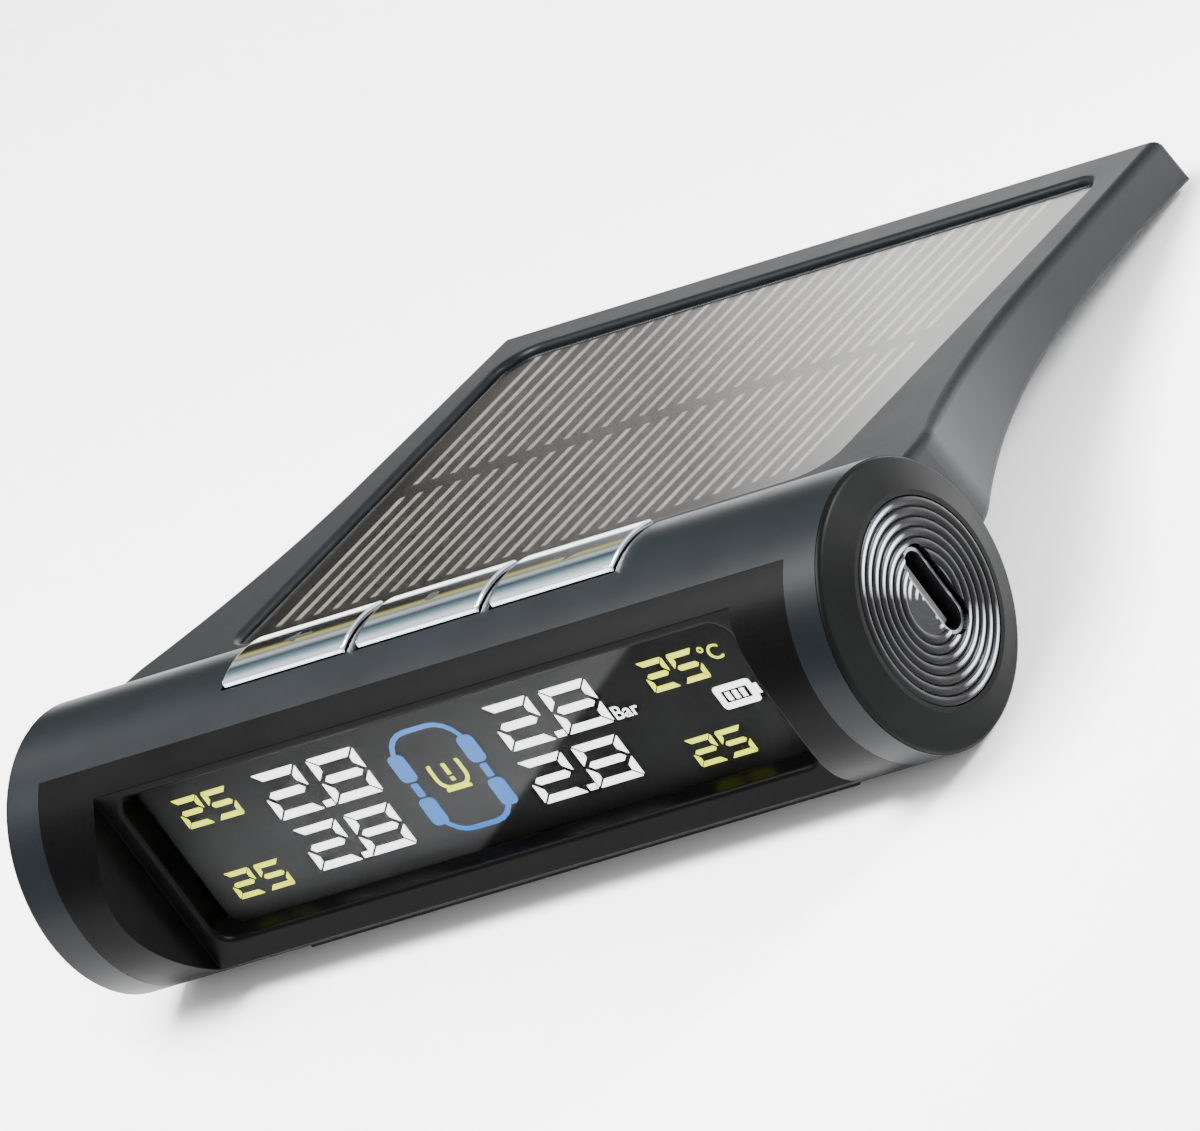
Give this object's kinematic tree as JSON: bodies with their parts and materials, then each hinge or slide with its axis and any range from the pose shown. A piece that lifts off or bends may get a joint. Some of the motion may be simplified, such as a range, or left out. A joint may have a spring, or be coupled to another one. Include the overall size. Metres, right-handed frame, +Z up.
{
  "type": "tire pressure monitor",
  "caption": "Solar dashboard display for tire pressure sensors: tube body with a scooped-in display, keys on its crest, ringed end caps and a rear solar fin.",
  "frame": {"origin": "centre of the bounding box on the dashboard, under the part", "axes": "+X along the tube towards the charging port, -Y towards the display, +Z up"},
  "size_m": [0.0948, 0.0822, 0.0269],
  "materials": {
    "housing": "satin metallic slate grey paint",
    "cap": "satin metallic gunmetal",
    "ring_disc": "turned, dark",
    "fascia": "semi-gloss black",
    "lens": "polished clear",
    "solar_cover": "polished clear",
    "solar_cells": "dark brown cells with bright fingers",
    "lcd": "dark liquid crystal cell",
    "backlight": "white diffuser",
    "contact": "conductive strip",
    "board": "green solder mask",
    "tape": "white foam",
    "battery": "foil pouch",
    "shield": "nickel plated sheet",
    "copper": "copper wire",
    "black_plastic": "moulded black",
    "key_chrome": "satin chrome plated plastic",
    "screw": "zinc plated",
    "pad": "matte non-slip"
  },
  "bodies": {
    "housing": {"housing_shell": "housing", "bottom_cover": "housing", "end_cap_right": "cap", "end_cap_left": "cap", "ring_disc_right": "ring_disc", "ring_disc_left": "ring_disc", "front_fascia": "fascia", "display_lens": "lens", "solar_cover": "solar_cover", "solar_panel": "solar_cells", "lcd_panel": "lcd", "backlight_block": "backlight", "lcd_pin_strip": "contact", "main_board": "board", "key_board": "board", "battery_foam": "tape", "solar_tape": "tape", "battery_cell": "battery", "radio_shield": "shield", "usb_port_shell": "shield", "aerial_coil": "copper", "buzzer": "black_plastic", "usb_port_tongue": "black_plastic", "key_switch_back": "black_plastic", "key_switch_set": "black_plastic", "key_switch_next": "black_plastic", "cover_screws": "screw", "board_screws": "screw", "front_foot_pad": "pad", "rear_foot_pad": "pad"},
    "key_back_body": {"key_back": "key_chrome", "key_plunger_back": "black_plastic"},
    "key_set_body": {"key_set": "key_chrome", "key_plunger_set": "black_plastic"},
    "key_next_body": {"key_next": "key_chrome", "key_plunger_next": "black_plastic"}
  },
  "joints": [
    {"name": "key_back_press", "type": "slide", "parent": "housing", "child": "key_back_body", "axis": [0, -0.2164, -0.9763], "range_m": [0, 0.0004], "stiffness_N_per_m": 400, "springref_m": -0.0004},
    {"name": "key_set_press", "type": "slide", "parent": "housing", "child": "key_set_body", "axis": [0, -0.2164, -0.9763], "range_m": [0, 0.0004], "stiffness_N_per_m": 400, "springref_m": -0.0004},
    {"name": "key_next_press", "type": "slide", "parent": "housing", "child": "key_next_body", "axis": [0, -0.2164, -0.9763], "range_m": [0, 0.0004], "stiffness_N_per_m": 400, "springref_m": -0.0004}
  ]
}
